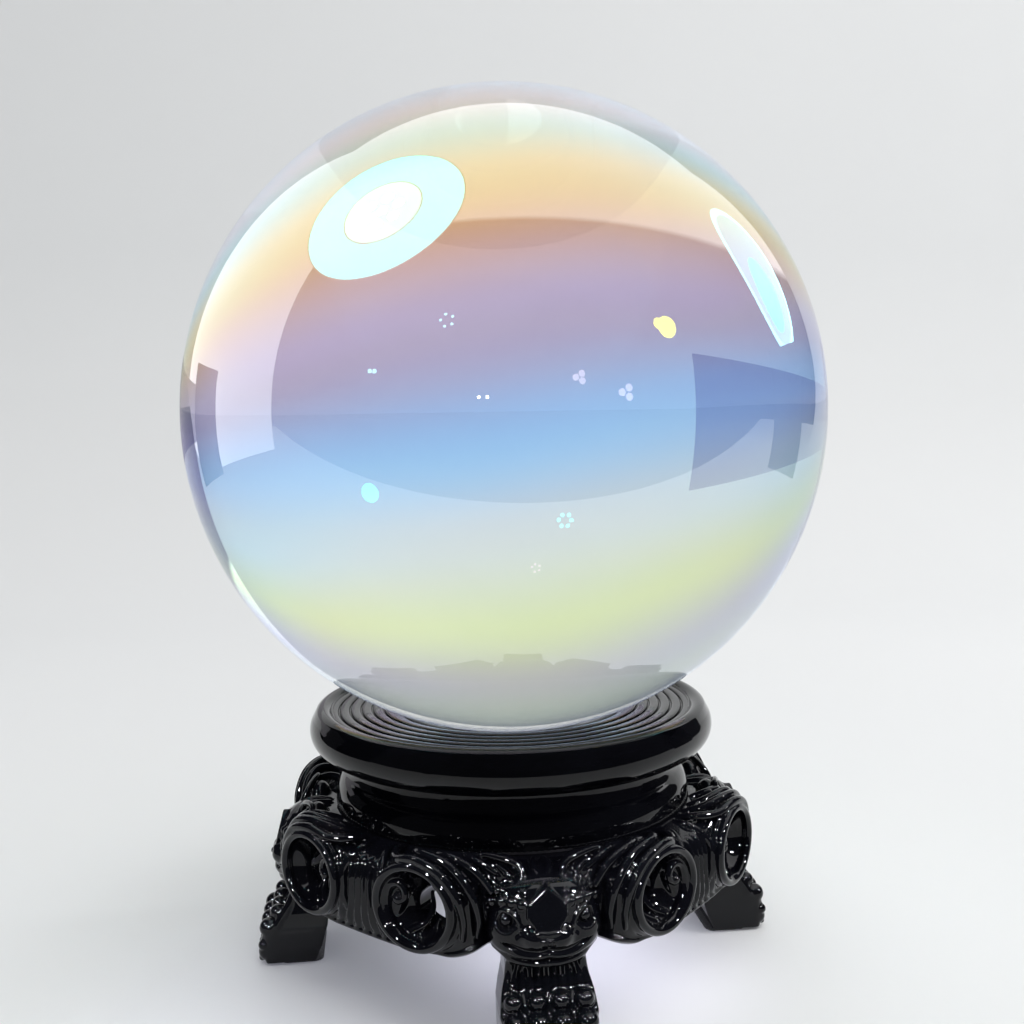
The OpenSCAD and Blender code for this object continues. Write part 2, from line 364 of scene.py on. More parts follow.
SCROLL = (15.5, 52.5, 28.7)
SCROLL_TURN = math.radians(7)
SCROLL_WIDE = 1.12
SCROLL_R = 9.0
SCROLL_LIP_R = 8.25
SCROLL_MOUTH_R = 7.7
FLUTE_PITCH = 1.8
WALL_R = 55.6
WALL_FLAT_Y = 51.6
LOWER_EDGE_Z = 17.6
PANEL_END = 7.95
ROOT_HALF = math.sqrt(0.5)


def to_scroll(p):
    """A panel point in the scroll's axes: u towards the leg, v up and w outwards."""
    c = math.cos(SCROLL_TURN)
    s = math.sin(SCROLL_TURN)
    x = p[0] - SCROLL[0]
    y = p[1] - SCROLL[1]
    return [x * c - y * s, p[2] - SCROLL[2], x * s + y * c]


def drawn_in(z):
    """How far the wall of a panel draws in above and below its fullest height."""
    up = np.clip((z - 29.0) / 9.0, 0, 0.985)
    down = np.clip((24.0 - z) / 13.0, 0, 0.985)
    return 9.0 * (1 - np.sqrt(1 - up * up)) + 13.0 * (1 - np.sqrt(1 - down * down))


def panel_wall(p):
    """The wall of a panel without its scrolls: bowed, fluted in the middle and hollowed beside the leg."""
    x, y, z = p
    r = length(x, y)
    off_leg = (y - x) * ROOT_HALF
    along_leg = (y + x) * ROOT_HALF
    wall = soft_max(r - WALL_R, y - WALL_FLAT_Y, 6.0) + drawn_in(z)
    recess = (along_leg - 48.4 - 1.2 * np.maximum(off_leg - 11.0, 0)) / 1.5
    wall = soft_max(wall, recess, 2.0)
    # flutes of the leaf between the scrolls: closest at the scrolls' height, spread above and below
    fan = x / (1 + 0.5 * ((z - SCROLL[2]) / SCROLL_R) ** 2)
    leaf = (1 - smooth_step(5.4, 7.4, fan)) * smooth_step(18.0, 21.5, z) * (1 - smooth_step(33.5, 36.0, z))
    wall = wall - 0.45 * np.cos(2 * np.pi * fan / FLUTE_PITCH) * leaf
    # rolled lower edge, which rises towards the leg
    edge_z = LOWER_EDGE_Z + 0.9 * smooth_step(9.0, 17.0, x) + 2.6 * smooth_step(21.0, 30.0, x)
    wall = wall - 0.6 * np.exp(-((z - edge_z - 0.9) / 0.7) ** 2)
    wall = soft_max(wall, edge_z - z, 0.9)
    # thinner below the ring that it leans on
    inner_r = TIE_R + 0.1 + 4.2 * smooth_step(28.6, 25.4, z)
    wall = soft_max(wall, inner_r - r, 0.8)
    top = z - SEAM_Z + 0.05 + 0.3 * np.maximum(r - COLLAR_CLEAR_R, 0)
    return soft_max(wall, top, 0.8)


def scroll_horn(q):
    """The outside of a scroll: a deep horn with ridges round it."""
    u, v, w = q
    rho = length(u / SCROLL_WIDE, v)
    ripple = 0.3 * np.cos(2 * np.pi * w / FLUTE_PITCH) * smooth_step(-0.8, -1.8, w)
    horn = soft_max(rho - SCROLL_R - 0.05 * w - ripple, w + 0.2, 1.5)
    return soft_max(horn, -w - 9.5, 1.0)


def scroll_mouth(q):
    """What is cut out of a scroll: a funnel that narrows and drifts down towards the leg."""
    u, v, w = q
    depth = np.clip(-w / 6.0, 0, 1)
    rho = length((u - 2.2 * depth) / SCROLL_WIDE, v + 1.4 * depth)
    funnel = (rho - (SCROLL_MOUTH_R - 3.5 * smooth_step(0.0, 1.0, depth))) * 0.85
    return np.maximum(funnel, -14.0 - w)


# Strands are lists of (x, y, z, radius); those of the scroll are in its own axes.
SCROLL_CURL = [
    (1.5, -8.0, -0.6, 1.0), (-3.6, -7.2, -0.9, 1.2), (-7.0, -4.2, -1.2, 1.3), (-8.0, -0.4, -1.5, 1.25),
    (-7.2, 2.6, -1.7, 1.1), (-5.2, 3.7, -1.8, 0.95), (-3.4, 2.9, -1.8, 0.85), (-3.0, 1.1, -1.6, 0.8),
    (-4.3, 0.2, -1.4, 0.85)
]
CURL_BACK = [(-7.4, -4.4, -3.6, 2.2), (-6.4, -0.8, -4.0, 2.2), (-5.2, 2.0, -4.2, 1.8)]
INNER_LEAVES = [
    [(-2.6, -6.6, -2.6, 0.9), (0.4, -4.6, -4.4, 0.9), (1.2, -1.6, -5.6, 0.6), (0.6, 1.2, -6.2, 0.35)],
    [(0.4, -7.2, -2.6, 0.8), (2.2, -6.0, -4.4, 0.8), (2.6, -4.2, -5.6, 0.4)]
]
# Strands that leave the collar: the first runs down beside the leaf, the rest sweep over the horn.
STRANDS = [
    [(2.8, 44.4, 36.0, 0.7), (3.4, 47.4, 35.6, 0.8), (4.8, 50.2, 33.6, 0.8), (5.9, 51.6, 30.0, 0.75),
     (5.8, 51.6, 26.4, 0.7), (4.9, 50.9, 22.6, 0.6)],
    [(5.2, 43.8, 36.2, 0.9), (6.6, 47.6, 36.8, 1.0), (10.2, 51.0, 37.2, 1.0), (15.8, 51.9, 38.6, 1.0),
     (21.6, 51.3, 36.9, 0.95), (25.3, 50.3, 32.4, 0.9), (26.3, 49.4, 27.6, 0.7), (25.6, 48.8, 23.6, 0.45)],
    [(9.0, 43.2, 36.2, 0.9), (11.2, 46.8, 37.6, 1.0), (16.4, 49.6, 39.2, 1.0), (22.6, 49.0, 37.8, 1.0),
     (26.8, 48.0, 33.2, 0.9), (28.2, 47.0, 28.0, 0.7), (27.4, 46.6, 23.8, 0.4)],
    [(13.6, 42.0, 36.2, 0.9), (16.2, 45.0, 37.6, 1.0), (21.4, 46.6, 38.5, 1.0), (26.2, 45.4, 36.4, 0.95),
     (29.0, 44.0, 32.6, 0.7)],
    [(19.0, 39.6, 36.2, 0.9), (21.4, 42.2, 37.3, 1.0), (25.2, 42.8, 37.2, 0.9), (28.2, 41.6, 35.4, 0.6)]
]


def panel(p):
    """Half of a panel: the wall, a pierced scroll with its lip, curl and leaves, and the strands over it."""
    x, y, z = p
    r = length(x, y)
    q = to_scroll(p)
    body = soft_min(panel_wall(p), scroll_horn(q), 1.8)
    body = soft_max(body, -scroll_mouth(q), 0.6)
    rho = length(q[0] / SCROLL_WIDE, q[1])
    body = soft_min(body, length(rho - SCROLL_LIP_R, q[2] + 0.1) - 0.9, 0.5)
    curl = soft_min(tube(q, SCROLL_CURL), ball(q, (-4.6, 0.6, -1.3), 1.1), 0.3)
    curl = soft_min(curl, tube(q, CURL_BACK), 0.5)
    body = soft_min(body, curl, 0.35)
    for leaf in INNER_LEAVES:
        body = soft_min(body, tube(q, leaf), 0.5)
    for strand in STRANDS:
        body = soft_min(body, tube(p, strand), 0.45)
    # a flat end against the leg
    body = np.maximum(body, PANEL_END - (y - x) * ROOT_HALF)
    return cleared(body, r, z)


# ---- carved leg ----
# A leg is carved along +X, out from the axis. Only y >= 0 is described.


def leg_shank(p):
    """From the block at the ring down to the sole, with flutes on its front."""
    x, y, z = p
    heights = [0, 4, 9, 12, 15.5, 19, 24]
    half = np.interp(z, heights, [9.2, 9.7, 9.6, 9.1, 8.4, 8.2, 8.4])
    front = np.interp(z, heights, [59.6, 59.6, 58.4, 56.2, 53.8, 52.8, 52.6])
    back = np.interp(z, heights, [48.6, 46.8, 45.4, 45.1, 45.0, 44.4, 43.4])
    groove = smooth_step(11.0, 13.5, z) * (1 - smooth_step(17.4, 19.8, z + 0.05 * y * y))
    flutes = 0.6 * (np.cos(2 * np.pi * y / 3.3) - 0.3) * groove
    shank = soft_max(y - half, (x - front - flutes) * 0.9, 1.1)
    shank = soft_max(shank, back - x, 0.8)
    shank = soft_max(shank, z - 24.5, 1.0)
    corner = tube(p, [(53.2, 7.2, 20.0, 0.8), (53.4, 7.5, 16.5, 0.8), (55.0, 8.4, 13.0, 0.9),
                      (57.2, 9.0, 9.6, 0.8)])
    return soft_min(shank, corner, 0.7)


def leg_paw(p):
    """Four toes, each with two round knuckles above a blunt tip."""
    paw = soft_max(block(p, (53.6, 0, 4.4), (6.4, 9.4, 3.9), 0.8), 48.4 - p[0], 1.0)
    for toe_y in (2.42, 7.26):
        toe = rod(p, (58.3, toe_y, 8.6), (59.5, toe_y, 3.0), 2.1, 2.25)
        toe = soft_min(toe, ball(p, (57.0, toe_y * 0.98, 12.0), 1.9), 0.6)
        toe = soft_min(toe, ball(p, (59.2, toe_y, 8.6), 2.2), 0.4)
        for side in (-1.2, 1.2):
            toe = soft_min(toe, ball(p, (60.4, toe_y + side, 5.0), 1.25), 0.3)
        toe = soft_min(toe, rod(p, (60.2, toe_y, 3.4), (60.9, toe_y, 1.5), 1.2, 0.8), 0.3)
        paw = soft_min(paw, toe, 0.35)
    return paw


def lion_face(p):
    """The mask on the knee: cheeks, brow, shield-shaped nose, mouth and one eye."""
    x, y, z = p
    face = egg(p, (50.0, 0, 28.3), (6.4, 10.8, 7.4))
    face = soft_min(face, egg(p, (51.2, 7.2, 25.0), (4.6, 4.4, 4.9)), 1.5)
    face = soft_min(face, egg(p, (52.6, 0, 22.9), (4.6, 9.2, 3.6)), 1.5)
    face = soft_min(face, egg(p, (55.2, 2.2, 24.4), (3.2, 3.2, 2.7)), 1.0)
    # flat shield on the forehead and nose, with a ridge under its lower edge
    lean = (x - 57.0) + (z - 29.0) * 0.26
    shield = soft_max(lean, (y - 2.2 - 0.75 * np.clip(z - 26.2, 0, 2.5)) * 0.8, 0.4)
    shield = soft_max(shield, y * 0.62 + (z - 34.3) * 0.78, 0.4)
    shield = soft_max(shield, 26.0 - z, 0.5)
    shield = soft_max(shield, 48.0 - x, 0.5)
    face = soft_min(face, shield, 0.5)
    ridge = tube(p, [(57.8, 0, 25.7, 0.5), (57.5, 2.3, 25.8, 0.5), (56.3, 3.7, 25.0, 0.5),
                     (55.6, 5.0, 25.6, 0.5)])
    face = soft_min(face, ridge, 0.35)
    face = soft_min(face, egg(p, (57.7, 0, 24.4), (1.2, 1.7, 0.9)), 0.4)
    face = soft_max(face, -ball(p, (58.7, 0.8, 24.1), 0.45), 0.3)
    # wide mouth: a groove under the muzzle and two rolls of the lower jaw
    groove = tube(p, [(58.2, 0, 22.8, 0.35), (57.8, 2.4, 22.3, 0.4), (56.6, 5.4, 22.3, 0.5),
                      (54.6, 8.6, 23.6, 0.5)])
    face = soft_max(face, -groove, 0.4)
    lip = tube(p, [(57.4, 0, 21.6, 0.6), (57.0, 2.6, 21.2, 0.7), (55.7, 5.6, 21.3, 0.8),
                   (53.8, 8.6, 22.6, 0.9), (51.4, 10.9, 25.2, 0.8)])
    face = soft_min(face, lip, 0.5)
    jaw = tube(p, [(56.4, 0, 19.5, 0.85), (55.8, 3.2, 19.4, 0.9), (54.2, 6.6, 19.9, 0.95),
                   (51.8, 9.8, 22.0, 0.95)])
    face = soft_min(face, jaw, 0.5)
    for spot in ((57.2, 1.6, 23.9), (56.7, 3.3, 24.4), (55.9, 4.6, 23.9)):
        face = soft_min(face, ball(p, spot, 0.5), 0.3)
    # eyes set wide, with lids, and a row of tufts for a brow
    face = soft_max(face, -ball(p, (54.9, 8.1, 27.5), 1.9), 0.6)
    face = soft_min(face, ball(p, (53.2, 7.8, 27.4), 1.45), 0.15)
    upper_lid = tube(p, [(55.8, 5.2, 26.6, 0.4), (55.3, 6.2, 28.7, 0.5), (54.0, 8.1, 29.6, 0.5),
                         (52.0, 9.9, 28.8, 0.45)])
    lower_lid = tube(p, [(55.8, 5.2, 26.6, 0.4), (55.0, 6.8, 25.6, 0.45), (53.7, 8.6, 25.4, 0.45),
                         (52.0, 9.9, 26.8, 0.4)])
    face = soft_min(soft_min(face, upper_lid, 0.3), lower_lid, 0.3)
    tufts = (
        (54.9, 4.8, 30.9, 1.05), (54.1, 6.7, 31.1, 1.1), (52.8, 8.6, 31.0, 1.1), (51.0, 10.5, 30.4, 1.0),
        (53.9, 4.4, 32.6, 0.7), (51.8, 9.4, 32.7, 0.8)
    )
    for tx, ty, tz, tr in tufts:
        face = soft_min(face, ball(p, (tx, ty, tz), tr), 0.35)
    return face


EAR = [
    (51.6, 6.6, 32.3, 0.65), (51.4, 4.3, 34.2, 0.75), (50.2, 4.7, 36.7, 0.75), (49.0, 8.0, 38.1, 0.75),
    (47.8, 12.2, 38.5, 0.6), (48.9, 11.1, 35.4, 0.7), (50.4, 9.3, 32.9, 0.75), (51.6, 6.6, 32.3, 0.65)
]
EAR_MIDDLE = [(51.0, 6.6, 34.0, 0.5), (50.2, 7.2, 35.4, 0.6), (49.2, 9.0, 36.8, 0.4)]
MANE = [
    [(44.6, 1.0, 35.7, 0.7), (47.6, 1.5, 35.9, 0.8), (50.0, 1.3, 35.5, 0.75), (51.9, 0.6, 34.4, 0.5)],
    [(46.4, 10.6, 36.2, 0.8), (48.4, 11.4, 34.6, 0.9), (49.2, 11.8, 31.6, 0.85), (50.0, 11.6, 28.0, 0.8),
     (50.4, 11.2, 25.2, 0.6)],
    [(45.8, 11.9, 35.4, 0.75), (46.8, 12.4, 32.2, 0.8), (47.4, 12.3, 28.4, 0.75), (48.2, 11.6, 24.2, 0.55)]
]


def leg(p):
    """Half of a leg: the block at the ring, the shank, the paw and the mask with its ear and mane."""
    x, y, z = p
    body = block(p, (45.0, 0, 29.0), (4.5, 8.0, 6.5), 0.3)
    body = soft_min(body, leg_shank(p), 1.0)
    body = soft_min(body, leg_paw(p), 0.7)
    head = lion_face(p)
    head = soft_min(head, egg(p, (47.0, 8.0, 33.8), (2.9, 4.4, 4.4)), 1.0)
    head = soft_min(head, egg(p, (47.0, 0, 32.6), (5.2, 5.0, 3.2)), 1.0)
    for strand in [EAR, EAR_MIDDLE, *MANE]:
        head = soft_min(head, tube(p, strand), 0.4)
    body = soft_min(body, head, 0.8)
    body = np.maximum(body, PAD_T + 0.02 - z)
    return cleared(body, length(x, y), z)


# ---- turned profiles ----

RIM_MINOR = 5.2
EDGE_R = 2.2
RIDGE_PITCH = 2.65
RIDGE_FIRST_R = 30.0
RIDGE_COUNT = 6
WELL_R = 20.0
COLLAR_BORE_R = 30.0
COLLAR_SHOULDER_R = 36.0
COLLAR_NECK_R = 39.2


def dish_profile():
    """From the well's lower corner round the outside of the rim and back over the grooved top."""
    rim_centre = RIM_R - RIM_MINOR
    rim_z = DISH_TOP - RIM_MINOR
    floor_z = FELT_TOP - 0.3
    points = [(WELL_R, DISH_Z), (25.0, DISH_Z), (32.0, DISH_Z), (39.0, DISH_Z)]
    points += arc(rim_centre, rim_z, RIM_MINOR, -88, 36, 40)
    points += arc(rim_centre + 1.9, DISH_TOP - EDGE_R, EDGE_R, 42, 150, 22)
    points += arc(rim_centre - 0.4, floor_z + 1.45, 0.5, -20, -80, 5)
    # flat-topped rings with narrow grooves between them
    for i in reversed(range(RIDGE_COUNT)):
        middle = RIDGE_FIRST_R + i * RIDGE_PITCH - 0.35
        half = RIDGE_PITCH / 2 - 0.2
        top = floor_z + 0.95
        points += [(middle + half + 0.12, floor_z + 0.1), (middle + half, floor_z + 0.35)]
        points += arc(middle + half - 0.5, top - 0.5, 0.5, 10, 90, 5)
        points += arc(middle - half + 0.5, top - 0.62, 0.5, 90, 170, 5)
        points += [(middle - half, floor_z + 0.25), (middle - half - 0.1, floor_z + 0.1)]
    points += [(27.6, floor_z), (FELT_OUT + 0.15, floor_z - 0.05), (FELT_OUT, floor_z - 0.25)]
    points += [(FELT_OUT, FELT_LOW + 1.7), (21.5, FELT_LOW), (WELL_R + 0.3, FELT_LOW),
               (WELL_R, FELT_LOW - 0.3)]
    return points


def collar_profile():
    """From the bore's lower corner out along the seam, up the moulding and the neck and back."""
    bore = COLLAR_BORE_R
    top = DISH_Z - 0.02
    points = [(bore, SEAM_Z + 0.3), (bore + 0.3, SEAM_Z), (COLLAR_SHOULDER_R, SEAM_Z)]
    points += arc(COLLAR_R - 6.0, SEAM_Z + 2.0, 6.0, -18, 52, 30)
    points += [(40.15, 43.55), (39.75, 44.2), (39.45, 45.0), (39.28, 46.0), (COLLAR_NECK_R, 47.2)]
    points += [(COLLAR_NECK_R, top), (COLLAR_SHOULDER_R, top), (bore, top)]
    return points


# ---- materials ----


def new_material(name):
    """A new material, its node tree and its Principled shader."""
    material = bpy.data.materials.new(name)
    material.use_nodes = True
    return material, material.node_tree, material.node_tree.nodes["Principled BSDF"]


def noise(tree, scale, detail=3.0, stretch=None):
    """A noise texture in object space, scale per metre."""
    coords = tree.nodes.new("ShaderNodeTexCoord")
    texture = tree.nodes.new("ShaderNodeTexNoise")
    texture.inputs["Scale"].default_value = scale
    texture.inputs["Detail"].default_value = detail
    source = coords.outputs["Object"]
    if stretch is not None:
        mapping = tree.nodes.new("ShaderNodeMapping")
        mapping.inputs["Scale"].default_value = stretch
        tree.links.new(source, mapping.inputs["Vector"])
        source = mapping.outputs["Vector"]
    tree.links.new(source, texture.inputs["Vector"])
    return texture.outputs["Fac"]


def paint(tree, shader, value, dark, light):
    """Two close colours in soft patches."""
    ramp = tree.nodes.new("ShaderNodeValToRGB")
    ramp.color_ramp.elements[0].position = 0.35
    ramp.color_ramp.elements[0].color = (*dark, 1)
    ramp.color_ramp.elements[1].position = 0.65
    ramp.color_ramp.elements[1].color = (*light, 1)
    tree.links.new(value, ramp.inputs["Fac"])
    tree.links.new(ramp.outputs["Color"], shader.inputs["Base Color"])


def cloud(tree, shader, value, low, high):
    """A roughness that wanders from low to high."""
    node = tree.nodes.new("ShaderNodeMapRange")
    node.inputs["From Min"].default_value = 0.3
    node.inputs["From Max"].default_value = 0.7
    node.inputs["To Min"].default_value = low
    node.inputs["To Max"].default_value = high
    tree.links.new(value, node.inputs["Value"])
    tree.links.new(node.outputs["Result"], shader.inputs["Roughness"])


def bump(tree, shader, value, strength, distance):
    """Fine relief from a noise value; the distance is in metres."""
    node = tree.nodes.new("ShaderNodeBump")
    node.inputs["Strength"].default_value = strength
    node.inputs["Distance"].default_value = distance
    tree.links.new(value, node.inputs["Height"])
    tree.links.new(node.outputs["Normal"], shader.inputs["Normal"])


def black_lacquer():
    """Thick gloss black lacquer with a faint orange peel and slightly duller patches."""
    material, tree, shader = new_material("black_lacquer")
    shader.inputs["Specular IOR Level"].default_value = 0.2
    shader.inputs["Coat Weight"].default_value = 0.2
    shader.inputs["Coat Roughness"].default_value = 0.02
    paint(tree, shader, noise(tree, 60), (0.0006, 0.0006, 0.001), (0.0012, 0.0013, 0.0019))
    cloud(tree, shader, noise(tree, 90), 0.03, 0.06)
    bump(tree, shader, noise(tree, 420, 2.0), 0.08, 0.0002)
    return material


def satin_resin():
    """Uncoated cast resin, as left inside the stand."""
    material, tree, shader = new_material("satin_resin")
    paint(tree, shader, noise(tree, 120), (0.012, 0.012, 0.013), (0.022, 0.022, 0.024))
    cloud(tree, shader, noise(tree, 300), 0.42, 0.6)
    bump(tree, shader, noise(tree, 900), 0.3, 0.0002)
    return material


def felt():
    """Black wool felt with a fuzzy surface."""
    material, tree, shader = new_material("black_felt")
    shader.inputs["Sheen Weight"].default_value = 0.35
    shader.inputs["Sheen Roughness"].default_value = 0.6
    paint(tree, shader, noise(tree, 2500, 4.0), (0.008, 0.008, 0.009), (0.03, 0.03, 0.033))
    cloud(tree, shader, noise(tree, 1500), 0.85, 1.0)
    bump(tree, shader, noise(tree, 3000, 5.0), 0.8, 0.0003)
    return material


def zinc():
    """Zinc-plated steel with fine turning marks and cloudy plating."""
    material, tree, shader = new_material("zinc_steel")
    shader.inputs["Metallic"].default_value = 1.0
    paint(tree, shader, noise(tree, 400), (0.5, 0.51, 0.53), (0.68, 0.69, 0.7))
    cloud(tree, shader, noise(tree, 600), 0.22, 0.4)
    bump(tree, shader, noise(tree, 2500, 3.0, (1, 1, 8)), 0.25, 0.0001)
    return material


# Colours of the coating from the bottom of the ball, -1, to the top, 1, as (height, colour).
COATING = [
    (-1.00, (0.62, 0.60, 0.70)),
    (-0.86, (0.66, 0.68, 0.66)),
    (-0.72, (0.63, 0.52, 0.74)),
    (-0.55, (1.00, 1.00, 0.41)),
    (-0.38, (0.98, 1.00, 0.85)),
    (-0.25, (0.96, 1.00, 0.84)),
    (-0.10, (0.54, 0.93, 1.00)),
    (0.08, (0.58, 0.57, 0.69)),
    (0.24, (0.75, 0.59, 0.73)),
    (0.42, (0.98, 0.57, 0.21)),
    (0.58, (0.97, 0.88, 0.23)),
    (0.70, (0.46, 0.95, 0.80)),
    (0.82, (1.00, 1.00, 1.00)),
    (0.92, (1.00, 1.00, 1.00)),
    (1.00, (1.00, 1.00, 1.00)),
]
# Painted glow: the ball's surface gives off light in these colours, standing in for light that the coating
# throws back, in the colours that it doesn't let through.
PAINTED_SHEEN = [
    (-1.00, (0.0, 0.0, 0.02)),
    (-0.70, (0.02, 0.05, 0.0)),
    (-0.50, (0.01, 0.06, 0.02)),
    (-0.30, (0.0, 0.03, 0.06)),
    (-0.15, (0.0, 0.0, 0.12)),
    (0.00, (0.0, 0.0, 0.10)),
    (0.15, (0.0, 0.0, 0.03)),
    (0.40, (0.0, 0.0, 0.0)),
    (0.75, (0.02, 0.05, 0.07)),
    (1.00, (0.05, 0.07, 0.08)),
]
# the bands, and the studio with them, are turned as the camera is
COATING_TURN = math.radians(-6.5)
COATING_TILT = math.radians(-8)
COATING_WANDER = 0.22
POLE_SPREAD = 0.15
FILM_MIDDLE = 80.0
FILM_CHANGE = 10.0


def glass():
    """Clear glass under an iridescent coating whose colour and thickness change in bands over the ball, with
    a painted glow in bands on its surface.

    The bands run from side to side and close up towards the ball's two ends, left and right.
    """
    material, tree, shader = new_material("coated_glass")
    shader.inputs["Roughness"].default_value = 0.0
    shader.inputs["IOR"].default_value = 1.5
    shader.inputs["Transmission Weight"].default_value = 1.0
    shader.inputs["Thin Film IOR"].default_value = 1.75
    nodes = tree.nodes
    links = tree.links

    def math_node(operation, a, b=None):
        node = nodes.new("ShaderNodeMath")
        node.operation = operation
        for i, value in enumerate((a, b)):
            if value is None:
                continue
            if isinstance(value, (int, float)):
                node.inputs[i].default_value = value
            else:
                links.new(value, node.inputs[i])
        return node.outputs[0]

    coords = nodes.new("ShaderNodeTexCoord")
    mapping = nodes.new("ShaderNodeMapping")
    mapping.vector_type = "TEXTURE"
    mapping.inputs["Location"].default_value = (0, 0, BALL_Z * MM)
    mapping.inputs["Rotation"].default_value = (0, COATING_TILT, COATING_TURN)
    mapping.inputs["Scale"].default_value = (BALL_R * MM,) * 3
    links.new(coords.outputs["Object"], mapping.inputs["Vector"])
    axes = nodes.new("ShaderNodeSeparateXYZ")
    links.new(mapping.outputs["Vector"], axes.inputs["Vector"])
    y = axes.outputs["Y"]
    z = axes.outputs["Z"]
    around = math_node("ADD", math_node("MULTIPLY", y, y), math_node("MULTIPLY", z, z))
    around = math_node("DIVIDE", math_node("ADD", around, POLE_SPREAD), 1 + POLE_SPREAD)
    height = math_node("DIVIDE", z, math_node("SQRT", around))
    wander = math_node("SUBTRACT", noise(tree, 9, 2.0), 0.5)
    height = math_node("ADD", height, math_node("MULTIPLY", wander, COATING_WANDER))
    along = math_node("MULTIPLY", math_node("ADD", height, 1.0), 0.5)

    def bands(name, colours):
        ramp = nodes.new("ShaderNodeValToRGB")
        ramp.name = name
        ramp.color_ramp.interpolation = "CARDINAL"
        stops = ramp.color_ramp.elements
        for at, colour in colours:
            stop = stops[0] if at == -1 else stops[-1] if at == 1 else stops.new((at + 1) / 2)
            stop.color = (*colour, 1)
        links.new(along, ramp.inputs["Fac"])
        return ramp.outputs["Color"]

    links.new(bands("coating", COATING), shader.inputs["Base Color"])
    # the ball's surface glows in painted bands, as if lit
    links.new(bands("painted_sheen", PAINTED_SHEEN), shader.inputs["Emission Color"])
    # the painted glow fades where the ball turns away
    grazing = nodes.new("ShaderNodeLayerWeight")
    turned_away = math_node("POWER", grazing.outputs["Facing"], 3.0)
    links.new(math_node("SUBTRACT", 1.0, turned_away), shader.inputs["Emission Strength"])
    film = math_node("ADD", math_node("MULTIPLY", height, FILM_CHANGE), FILM_MIDDLE)
    links.new(film, shader.inputs["Thin Film Thickness"])
    return material


lacquer = black_lacquer()
resin = satin_resin()
felt_black = felt()
steel = zinc()

# ---- pieces ----

# the cells that the carving is sampled in, and the boxes that hold half a panel and half a leg
STEP = 0.3
PANEL_BOX = ((0, 33.0, 17.0), (34.0, 57.0, 42.0))
LEG_BOX = ((38.0, 0, 0.0), (64.0, 13.5, 42.0))
PANEL_NODES = ["apron_back_right", "apron_back_left", "apron_front_left", "apron_front_right"]
LEG_NODES = ["leg_right", "leg_back", "leg_left", "leg_front"]
PAD_NODES = ["foot_pad_right", "foot_pad_back", "foot_pad_left", "foot_pad_front"]

panel_mesh = sculpt("carved_panel", panel, *PANEL_BOX, STEP, 0)
leg_mesh = sculpt("carved_leg", leg, *LEG_BOX, STEP, 1)
for i, (panel_node, leg_node) in enumerate(zip(PANEL_NODES, LEG_NODES)):
    place("carved_" + panel_node, panel_mesh, lacquer, "stand", [panel_node], 90 * i - 45)
    place("carved_" + leg_node, leg_mesh, lacquer, "stand", [leg_node], 90 * i)

dish_mesh = turned("turned_dish", dish_profile(), 360)
place("turned_dish", dish_mesh, lacquer, "stand", ["seat_dish"])
collar_mesh = turned("turned_collar", collar_profile(), 360)
place("turned_collar", collar_mesh, lacquer, "stand", ["neck_collar"])

BEAD_COUNT = 210
BEAD_R = 0.38
BEADS_R = COLLAR_R - 0.3
BEADS_Z = SEAM_Z + 0.42


def beads(r, z, angle):
    """Swells and narrows a thin ring into a string of beads."""
    size = 0.62 + 0.38 * np.abs(np.sin(angle * BEAD_COUNT / 2))
    return BEADS_R + (r - BEADS_R) * size, BEADS_Z + (z - BEADS_Z) * size


bead_ring = arc(BEADS_R, BEADS_Z, BEAD_R, 0, 324, 10)
bead_mesh = turned("seam_beads", bead_ring, BEAD_COUNT * 8, beads)
place("seam_beads", bead_mesh, lacquer, "stand", [])


def sphere(name, radius, centre_z, rows, around):
    """A closed sphere of quads, with triangles at its two poles."""
    tilt = np.pi * np.arange(1, rows) / rows
    turn = 2 * np.pi * np.arange(around) / around
    r = radius * np.sin(tilt)[:, None]
    x = r * np.cos(turn)[None, :]
    y = r * np.sin(turn)[None, :]
    z = centre_z - radius * np.cos(tilt)[:, None] + 0 * x
    points = np.stack([x, y, z], 2).reshape(-1, 3)
    points = np.vstack([points, [0, 0, centre_z - radius], [0, 0, centre_z + radius]]) * MM
    faces = []
    last = (rows - 2) * around
    for i in range(around):
        j = (i + 1) % around
        faces.append((len(points) - 2, j, i))
        faces.append((len(points) - 1, last + i, last + j))
    mesh = mesh_of(name, points.tolist(), faces + joined_rings(rows - 1, around))
    mesh.shade_smooth()
    return mesh


ball_mesh = sphere("glass_ball", BALL_R, BALL_Z, 160, 320)
glass_ball = place("glass_ball", ball_mesh, glass(), "ball", ["crystal_ball"])
# clear glass lets the lamps' light through
glass_ball.visible_shadow = False

# the felt ring: a soft strip let into the dish, a little rounded along its edges
felt_ring = [
    (21.6, FELT_LOW + 0.05), (26.4, FELT_LOW + 1.65), (26.46, FELT_TOP - 0.35), (26.3, FELT_TOP - 0.12),
    (25.9, FELT_TOP - 0.19), (24.0, FELT_TOP - 0.83), (22.1, FELT_TOP - 1.48), (21.7, FELT_TOP - 1.66),
    (21.54, FELT_TOP - 1.95)
]
felt_mesh = turned("felt_seat", felt_ring, 180)
place("felt_seat", felt_mesh, felt_black, "stand", ["seat_felt"])


